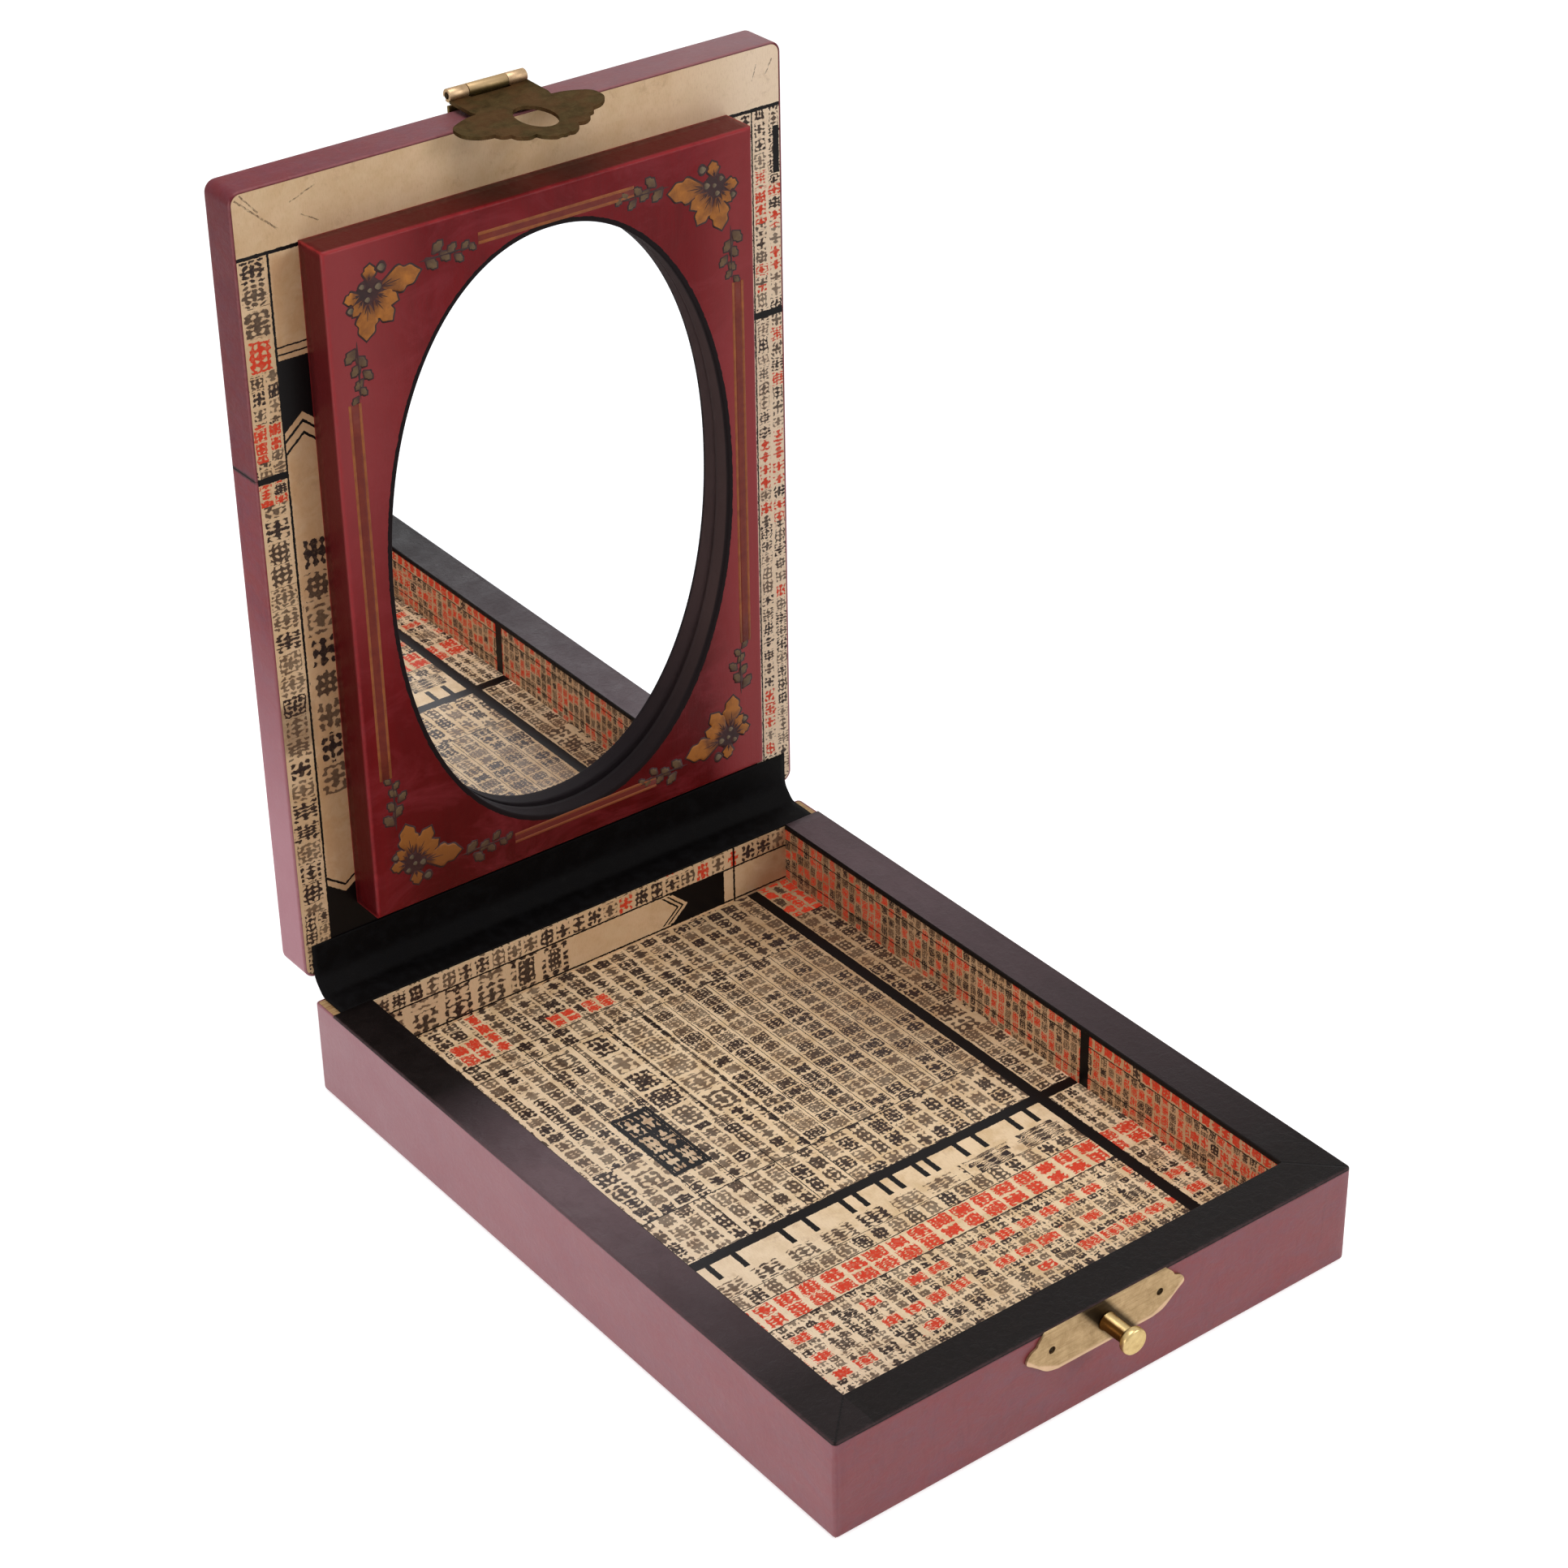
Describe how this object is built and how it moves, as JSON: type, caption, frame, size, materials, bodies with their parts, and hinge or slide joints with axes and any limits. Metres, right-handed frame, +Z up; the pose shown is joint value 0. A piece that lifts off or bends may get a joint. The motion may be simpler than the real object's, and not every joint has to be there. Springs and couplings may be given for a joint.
{
  "type": "makeup case",
  "caption": "Low covered tray case, open, with a hinged lid carrying an oval mirror in a lacquered frame, and a pierced hasp that drops over a round-headed post",
  "frame": {"origin": "middle of the underside, on the surface the case stands on", "axes": "+X to the right seen from the latch side, +Y toward the back hinges, +Z up"},
  "size_m": [0.15, 0.2325, 0.2408],
  "materials": {
    "covering": "satin mottled burgundy covering",
    "rim": "satin black edge covering",
    "cloth": "dull black hinge cloth",
    "lining": "matt tan paper, block printed in black and red",
    "felt": "matt felt",
    "board": "raw board",
    "card": "raw card",
    "lacquer": "glossy red lacquer with gold and olive hand painting",
    "mirror": "polished mirror glass",
    "catch_brass": "worn light brass",
    "hinge_brass": "satin brass",
    "dark_brass": "dark patinated brass"
  },
  "bodies": {
    "base": {"underside_felt": "felt", "bottom_board": "board", "inner_floor": "board", "front_wall": "board", "back_wall": "board", "left_wall": "board", "right_wall": "board", "base_wrap": "covering", "rim_trim": "rim", "floor_lining": "lining", "front_lining": "lining", "back_lining": "lining", "left_lining": "lining", "right_lining": "lining", "hinge_cloth": "cloth", "hinge_base_leaf_left": "hinge_brass", "hinge_base_leaf_right": "hinge_brass", "hinge_pin_left": "hinge_brass", "hinge_pin_right": "hinge_brass", "base_hinge_nails": "hinge_brass", "catch_plate": "catch_brass", "catch_post": "catch_brass", "catch_pins": "dark_brass"},
    "lid": {"lid_board": "board", "lid_wrap_lower": "covering", "lid_wrap_upper": "covering", "lid_lining": "lining", "mirror_frame": "lacquer", "mirror_glass": "mirror", "mirror_backing": "card", "hinge_lid_leaf_left": "hinge_brass", "hinge_lid_leaf_right": "hinge_brass", "lid_hinge_nails": "hinge_brass", "hasp_leaf": "dark_brass", "hasp_nails": "dark_brass", "hasp_pin": "dark_brass"},
    "hasp": {"hasp_plate": "dark_brass"}
  },
  "joints": [
    {"name": "lid_hinge", "type": "hinge", "parent": "base", "child": "lid", "pos_m": [0, 0.10605, 0.0275], "axis": [1, 0, 0], "range_deg": [0, 90], "deforming": ["hinge_cloth"]},
    {"name": "hasp_hinge", "type": "hinge", "parent": "lid", "child": "hasp", "pos_m": [0, 0.11825, 0.23925], "axis": [-1, 0, 0], "range_deg": [0, 260]}
  ]
}
